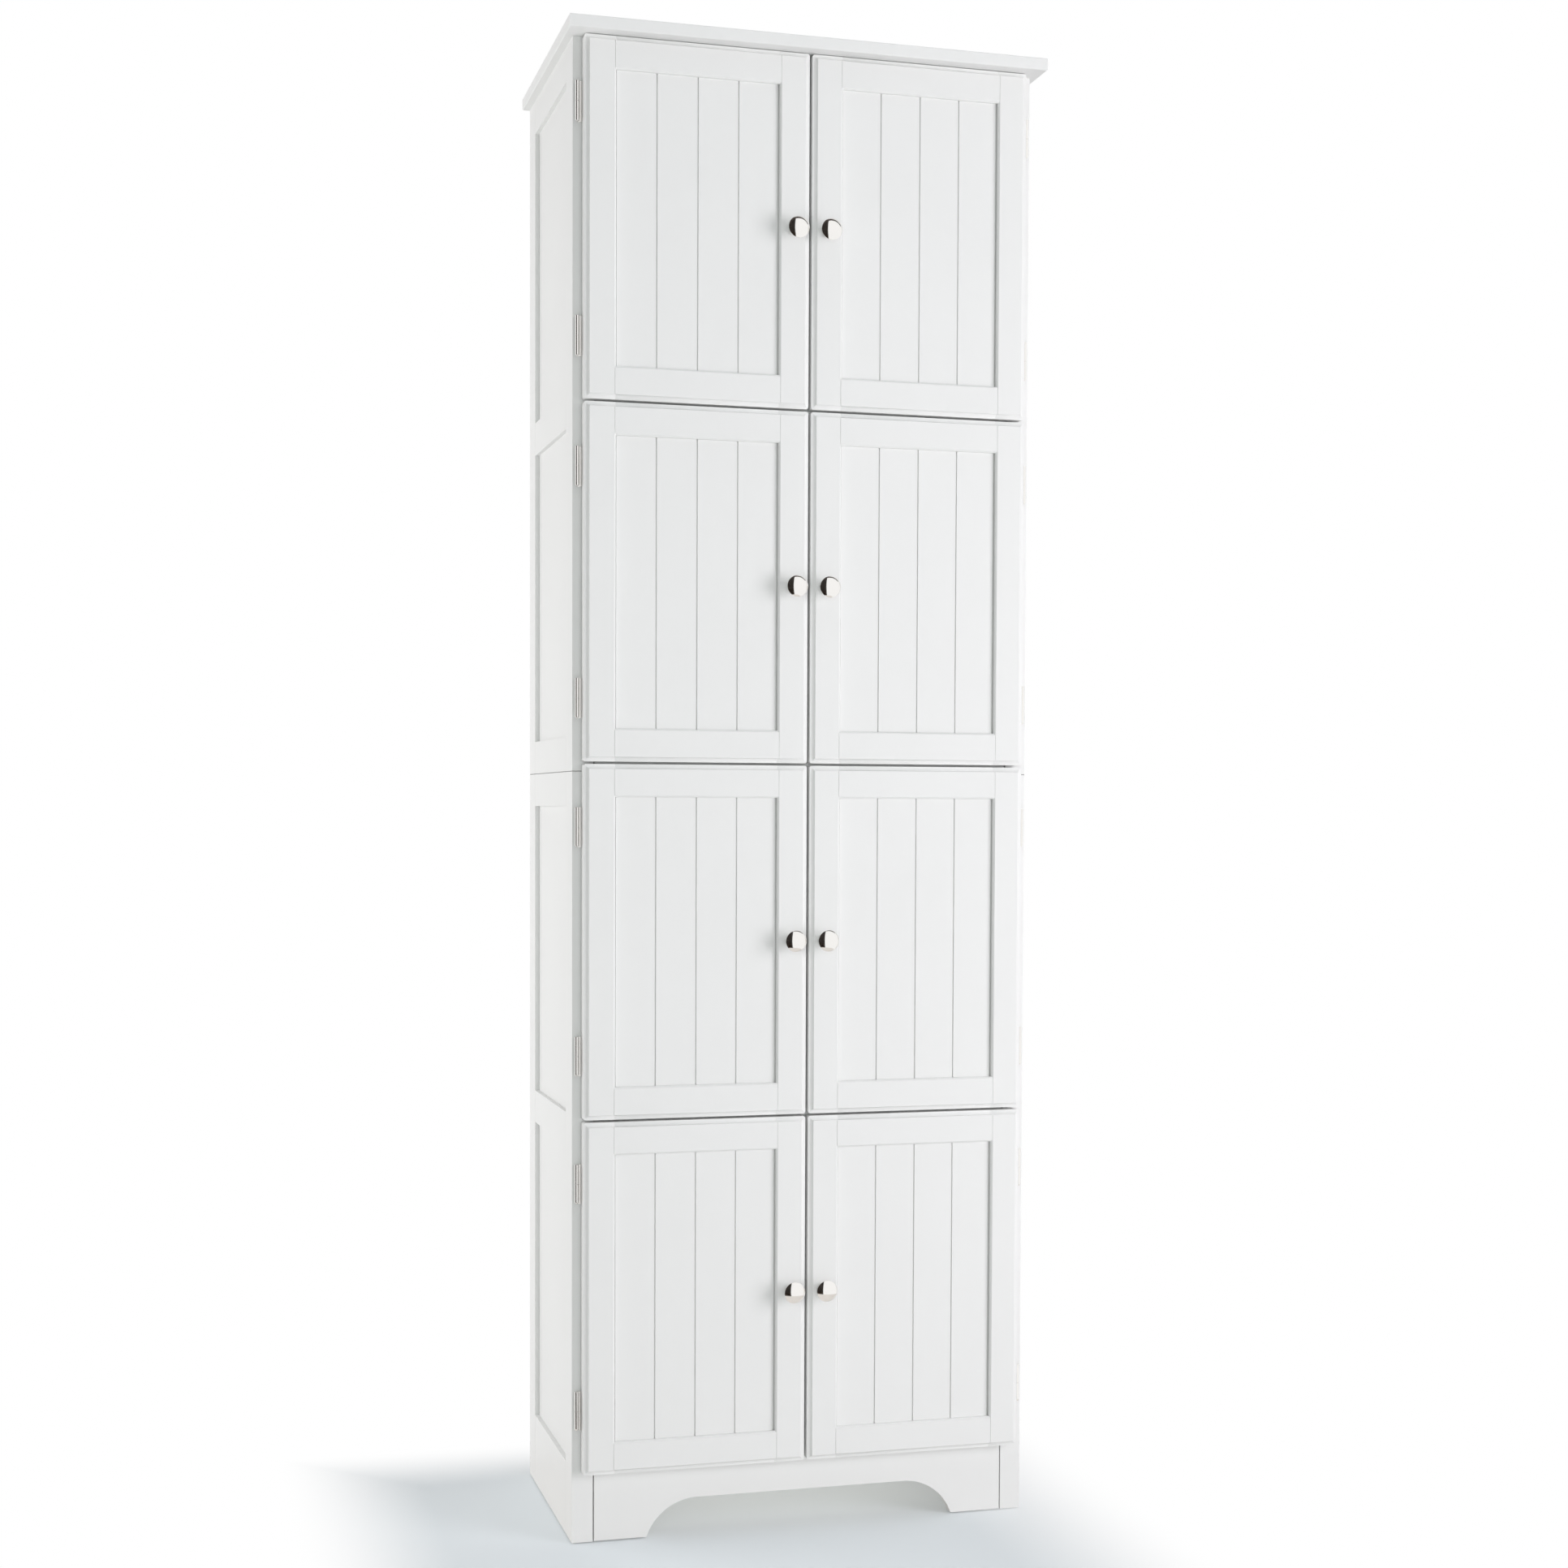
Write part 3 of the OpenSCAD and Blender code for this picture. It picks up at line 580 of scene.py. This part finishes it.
# %% Block and pan head
def block(name, size, place, rim):
    """A block with rounded edges, as its whole size and its middle."""
    clear_selection()
    bpy.ops.mesh.primitive_cube_add(size=1.0, location=place)
    piece = bpy.context.object
    piece.name = name
    piece.scale = size
    bpy.ops.object.transform_apply(location=True, rotation=True, scale=True)
    return bevel_rim(piece, rim)


PAN_HEIGHT = 0.0020

pan_screw = screw_head("pan_screw", radius=0.0040, height=PAN_HEIGHT, dome=0.0012, slot=0.0009)
print("pan head:", len(pan_screw.data.polygons), "faces")

# %% [markdown]
# A magnetic catch needs steel on the door to pull at: a thin plate with two screws, level with
# the catch above. Behind each knob, in the middle of the stile, stands the head of the screw that
# holds it. They could be solids of the construction, but they carry no load there and would use
# up its nodes, so they are laid here, each from the boxes of the door, the knob and the board
# above.

# %% Strike plates and knob screws
PLATE_W, PLATE_H, PLATE_T, PLATE_EDGE, PLATE_RIM = 0.020, 0.011, 0.001, 0.002, 0.0003
PLATE_SCREW_FROM_MIDDLE = 0.0055
CATCH_DROP, TOP_PLATE_DROP = 0.006, 0.0065

catch_top = {"bottom": "lower_shelf", "lower": "middle_shelf", "upper": "upper_shelf"}
for door in doors:
    low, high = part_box(door + "_frame")
    row_name = door.split("_")[0]
    left = "_left_" in door
    inner = float(high[0]) - PLATE_EDGE if left else float(low[0]) + PLATE_EDGE
    plate_x = inner - PLATE_W / 2 if left else inner + PLATE_W / 2
    if row_name in catch_top:
        plate_z = float(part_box(catch_top[row_name])[0][2]) - CATCH_DROP
    else:
        plate_z = float(high[2]) - TOP_PLATE_DROP
    back = float(high[1])
    plate = block(door + "_strike_plate", (PLATE_W, PLATE_T, PLATE_H),
                  (plate_x, back + PLATE_T / 2, plate_z), PLATE_RIM)
    plate.data.materials.clear()
    plate.data.materials.append(zinc)
    carry(plate, door)
    plate_screws = [((plate_x + step, back + PLATE_T, plate_z), FACE_BACK)
                    for step in (-PLATE_SCREW_FROM_MIDDLE, PLATE_SCREW_FROM_MIDDLE)]
    carry(lay_copies(door + "_strike_screws", flat_screw, plate_screws, zinc), door)
    knob_low, knob_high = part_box(door + "_knob")
    knob_x, _, knob_z = [float(a + b) / 2 for a, b in zip(knob_low, knob_high)]
    knob_places = [((knob_x, back + PAN_HEIGHT, knob_z), FACE_BACK)]
    carry(lay_copies(door + "_knob_screw", pan_screw, knob_places, zinc), door)
print("strike plates:", len(doors))

# %% [markdown]
# A double catch holds a magnet for each door, between two steel poles that stand a little proud
# of it. Its housing is in the construction, plain, so that it stays simple. The poles and magnets
# are blocks set in its front, and the one pattern of each is removed once it is laid.

# %% Catch magnets
POLE_SIZE, POLE_RIM, POLE_RISE = (0.018, 0.0012, 0.0008), 0.0002, 0.0036
MAGNET_SIZE, MAGNET_RIM, MAGNET_FROM_MIDDLE = (0.016, 0.0052, 0.0005), 0.0001, 0.0135

catch_front = float(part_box("door_catches")[0][1])
catch_heights = [float(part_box(name)[0][2]) - CATCH_DROP
                 for name in ("lower_shelf", "middle_shelf", "upper_shelf")]
catch_heights.append(float(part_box("top_board")[0][2]) - CATCH_DROP)
pole = block("pole", POLE_SIZE, (0, 0, 0), POLE_RIM)
magnet = block("magnet", MAGNET_SIZE, (0, 0, 0), MAGNET_RIM)
pole_places, magnet_places = [], []
for z in catch_heights:
    for x in (-MAGNET_FROM_MIDDLE, MAGNET_FROM_MIDDLE):
        magnet_places.append(((x, catch_front, z), FACE_FRONT))
        pole_places += [((x, catch_front, z + rise), FACE_FRONT)
                        for rise in (-POLE_RISE, POLE_RISE)]
carry(lay_copies("catch_poles", pole, pole_places, zinc), "carcass")
carry(lay_copies("catch_magnets", magnet, magnet_places, grey_plastic), "carcass")
for pattern in (flat_screw, pan_screw, pole, magnet):
    bpy.data.objects.remove(pattern)
print("catches:", len(catch_heights))

# %% [markdown]
# The cabinet stands on a pale bluish floor that fades to white round it. A curved sweep of paper
# would do that, but its curve would show from other sides. So the floor is one flat plane, and
# its finish turns into plain white light behind the cabinet, to both its sides and far in front.
# Under the cabinet and just in front of it the floor keeps its shade, so it holds the shadows.

# %% Floor
FLOOR_SIZE = 60
BEHIND_LOW, BEHIND_HIGH = 0.10, 0.34
SIDE_AND_FRONT_FADES = (("X", 0.13, 0.45), ("X", -0.38, -0.62), ("Y", -0.9, -1.8))
LEAST_SEEN = 0.14

bpy.ops.mesh.primitive_plane_add(size=FLOOR_SIZE, location=(0, 0, 0))
floor = bpy.context.object
floor.name = "studio_floor"
floor_material, floor_tree, floor_shader = new_material("studio_floor", roughness=0.9)
floor.data.materials.append(floor_material)
floor_place = object_coordinates(floor_tree)
floor_parts = split(floor_tree, floor_place)


def fade_between(tree, value, low, high):
    """A smooth rise from 0 at low to 1 at high."""
    fade = tree.nodes.new("ShaderNodeMapRange")
    fade.interpolation_type = "SMOOTHSTEP"
    fade.inputs["From Min"].default_value = low
    fade.inputs["From Max"].default_value = high
    tree.links.new(value, fade.inputs["Value"])
    return fade.outputs[0]


behind_fade = fade_between(floor_tree, floor_parts["Y"], BEHIND_LOW, BEHIND_HIGH)
other_fades = [fade_between(floor_tree, floor_parts[axis], low, high)
               for axis, low, high in SIDE_AND_FRONT_FADES]
seen_white = chain(floor_tree, "MAXIMUM", behind_fade, *other_fades, LEAST_SEEN)
print("floor:", FLOOR_SIZE, "m wide, white from", BEHIND_HIGH, "m behind the middle")

# %% [markdown]
# Polished metal mirrors the floor too: the undersides of the knobs are pale and warm, and dark to
# the left. One floor can't be both, but a finish can tell mirror-like rays from the camera's. So
# they get a floor of their own: pale near the cabinet, white from about 0.7 m on, and dark in a
# sector to the left in front, where it carries on the foot of the dark card further down.

# %% Floor in the mirror
FAR_LOW, FAR_HIGH, LEAST_MIRRORED = 0.66, 0.72, 0.45
SECTOR_FROM, SECTOR_TO, SECTOR_SOFT = 26, 79, 0.01
KNOBS_FROM_MIDDLE = 0.19


def beside(angle, side):
    """1 beyond a line from the knobs that runs so many degrees left of the front.

    Side 1 is further to the left, and side -1 is back towards the front.
    """
    across = floor_tree.nodes.new("ShaderNodeVectorMath")
    across.operation = "DOT_PRODUCT"
    floor_tree.links.new(floor_place, across.inputs[0])
    turn = math.radians(angle)
    across.inputs[1].default_value = (-side * math.cos(turn), side * math.sin(turn), 0.0)
    start = -side * KNOBS_FROM_MIDDLE * math.sin(turn)
    return fade_between(floor_tree, across.outputs["Value"],
                        start - SECTOR_SOFT, start + SECTOR_SOFT)


reach = floor_tree.nodes.new("ShaderNodeVectorMath")
reach.operation = "LENGTH"
floor_tree.links.new(floor_place, reach.inputs[0])
far_fade = fade_between(floor_tree, reach.outputs["Value"], FAR_LOW, FAR_HIGH)
mirrored_white = chain(floor_tree, "MAXIMUM", behind_fade, far_fade, LEAST_MIRRORED)
sector = chain(floor_tree, "MULTIPLY", beside(SECTOR_FROM, 1), beside(SECTOR_TO, -1), far_fade)
print("dark sector from", SECTOR_FROM, "to", SECTOR_TO, "degrees left of the front")

# %% [markdown]
# The finish joins the two. Paint on the plane gives the shade and takes the shadows, white light
# covers it as far as the fades say, and each kind of ray picks its own share and its own colour.
# Three floors would do the same, but they would throw three lots of light back at the cabinet.

# %% Floor finish
SEEN_SHADE, BOUNCE_SHADE, MIRRORED_SHADE = "eff6fa", "e9e9e9", "ebe0d5"
WHITE = (1.0, 1.0, 1.0, 1.0)
DARK, SPECKLE = "14100e", "6a5e55"
MOTTLE_SCALE, MOTTLE_DETAIL, MOTTLE_LOW, MOTTLE_HIGH = 5.0, 5.0, 0.52, 0.64


def mottled(tree, place):
    """Near black with paler speckles, for what the metal mirrors on its dark side."""
    speckles = noise_node(tree, place, MOTTLE_SCALE, MOTTLE_DETAIL)
    return between(tree, fade_between(tree, speckles, MOTTLE_LOW, MOTTLE_HIGH),
                   linear(DARK), linear(SPECKLE))


rays = floor_tree.nodes.new("ShaderNodeLightPath").outputs
white_share = math_node(
    floor_tree, "ADD",
    math_node(floor_tree, "MULTIPLY", rays["Is Camera Ray"], seen_white),
    math_node(floor_tree, "MULTIPLY", rays["Is Glossy Ray"], mirrored_white))
dark_share = math_node(floor_tree, "MULTIPLY", rays["Is Glossy Ray"], sector)
glow = floor_tree.nodes.new("ShaderNodeEmission")
glow_colour = between(floor_tree, dark_share, WHITE, mottled(floor_tree, floor_place))
floor_tree.links.new(glow_colour, glow.inputs["Color"])
bounced = between(floor_tree, rays["Is Glossy Ray"], linear(BOUNCE_SHADE), linear(MIRRORED_SHADE))
mix_shades(floor_tree, rays["Is Camera Ray"], bounced, linear(SEEN_SHADE), floor_shader)
blend = floor_tree.nodes.new("ShaderNodeMixShader")
for value, socket in zip((white_share, floor_shader.outputs[0], glow.outputs[0]), blend.inputs):
    floor_tree.links.new(value, socket)
floor_tree.links.new(blend.outputs[0], floor_tree.nodes["Material Output"].inputs["Surface"])
print("floor finish:", len(floor_tree.nodes), "nodes")

# %% [markdown]
# Pale walls all round would light the cabinet a little from everywhere. A picture of such a place
# would bring colours of its own, so the world is plain. To the camera, to mirrors and through
# glass it has to be white, and for its light it has to be much dimmer, so it mixes two strengths
# by the kind of ray.

# %% World
AMBIENT_COLOUR, AMBIENT_STRENGTH = (0.98, 0.95, 0.95, 1.0), 0.31
BACKDROP_STRENGTH = 1.0

world = bpy.data.worlds.new("studio")
bpy.context.scene.world = world
world.use_nodes = True
world_tree = world.node_tree
ambient = world_tree.nodes["Background"]
backdrop = world_tree.nodes.new("ShaderNodeBackground")
for light, colour, strength in ((ambient, AMBIENT_COLOUR, AMBIENT_STRENGTH),
                                (backdrop, WHITE, BACKDROP_STRENGTH)):
    light.inputs["Color"].default_value = colour
    light.inputs["Strength"].default_value = strength
world_rays = world_tree.nodes.new("ShaderNodeLightPath").outputs
shown = chain(world_tree, "MAXIMUM", world_rays["Is Camera Ray"], world_rays["Is Glossy Ray"],
              world_rays["Is Transmission Ray"])
world_mix = world_tree.nodes.new("ShaderNodeMixShader")
for value, socket in zip((shown, ambient.outputs[0], backdrop.outputs[0]), world_mix.inputs):
    world_tree.links.new(value, socket)
world_tree.links.new(world_mix.outputs[0], world_tree.nodes["World Output"].inputs["Surface"])
print("world ready")

# %% [markdown]
# Five soft boxes light the cabinet. A sun or a point lamp would cut sharp shadows, where the
# cabinet's are soft. The key stands to the right in front and the fill near the camera, both at
# chest height. The side lamp keeps the left side of the cabinet light, and the top lamp the edge
# of the top board. A faint warm lamp hangs under the cabinet, for the light that comes back from
# the floor in the arch.

# %% Lamps
# Each row: name, place, the point it looks at, size, power in watts, colour.
LAMPS = (
    ("key", (2.3, -2.5, 1.0), (0.0, -0.1, 0.9), (1.8, 2.2), 63.0, (0.985, 0.965, 1.0)),
    ("fill", (-0.9, -3.4, 1.0), (0.0, -0.1, 0.9), (1.4, 1.8), 20.0, (0.9, 1.0, 0.96)),
    ("side", (-2.6, 1.2, 0.85), (-0.2, 0.0, 0.85), (2.0, 2.0), 45.0, (0.985, 0.99, 0.98)),
    ("under", (0.0, 0.02, 0.07), (0.0, 0.02, 0.0), (0.46, 0.24), 0.09, (1.0, 0.97, 0.87)),
    ("top", (0.0, -0.6, 3.4), (0.0, -0.2, 0.0), (2.4, 2.4), 13.0, (0.85, 0.96, 1.0)),
)


def softbox(name, place, target, size, power, colour):
    """An area lamp that looks at a point, and that neither the camera nor a mirror shows."""
    data = bpy.data.lights.new(name, "AREA")
    data.shape = "RECTANGLE"
    data.size, data.size_y = size
    data.energy = power
    data.color = colour
    lamp = bpy.data.objects.new(name, data)
    lamp.location = place
    lamp.rotation_euler = (Vector(target) - Vector(place)).to_track_quat("-Z", "Y").to_euler()
    lamp.visible_camera = False
    lamp.visible_glossy = False
    bpy.context.scene.collection.objects.link(lamp)
    return lamp


lamps = [softbox(*row) for row in LAMPS]
print("lamps:", ", ".join(lamp.name for lamp in lamps))

# %% [markdown]
# Polished metal shows what stands round it. A whole interior could be modelled for that, but two
# cards are enough: a tall dark one to the left in front for the dark streak on the knobs and
# hinges, mottled because an even one would look like a hole in the metal, and a brown one
# overhead for the dark arc along the knobs' upper rims. Only mirror-like rays see the cards, so
# they take no light from the paint.

# %% Cards
CARD_PLACE, CARD_ANGLES, CARD_SCALE = (-2.0, -1.7, 6.0), (90, 0, -53), (2.5, 12.0, 1.0)
OVERHEAD_PLACE, OVERHEAD_ANGLES, OVERHEAD_SCALE = (0.0, -0.28, 3.0), (0, 0, 5), (6.0, 0.57, 1.0)
OVERHEAD_SHADE = "4a423e"


def mirror_card(name, place, angles, scale):
    """A plane that only mirror-like rays see, with its node tree and its shader."""
    bpy.ops.mesh.primitive_plane_add(size=1.0, location=place,
                                     rotation=[math.radians(angle) for angle in angles])
    plane = bpy.context.object
    plane.name = name
    plane.scale = scale
    plane.visible_camera = False
    plane.visible_diffuse = False
    plane.visible_shadow = False
    plane.visible_transmission = False
    material, tree, shader = new_material(name, roughness=0.9)
    plane.data.materials.append(material)
    return plane, tree, shader


card, card_tree, card_shader = mirror_card("dark_card", CARD_PLACE, CARD_ANGLES, CARD_SCALE)
card_place = card_tree.nodes.new("ShaderNodeMapping")
card_place.inputs["Scale"].default_value = CARD_SCALE
card_tree.links.new(object_coordinates(card_tree), card_place.inputs[0])
card_tree.links.new(mottled(card_tree, card_place.outputs[0]), card_shader.inputs["Base Color"])

overhead, _, overhead_shader = mirror_card("overhead_card", OVERHEAD_PLACE, OVERHEAD_ANGLES,
                                           OVERHEAD_SCALE)
overhead_shader.inputs["Base Color"].default_value = linear(OVERHEAD_SHADE)
print("cards at", tuple(card.location), tuple(overhead.location))

# %% [markdown]
# The last step sets the Standard view, which shows colours as they were written.

# %% Colour view
import json

bpy.context.scene.view_settings.view_transform = "Standard"
print("view transform:", bpy.context.scene.view_settings.view_transform)
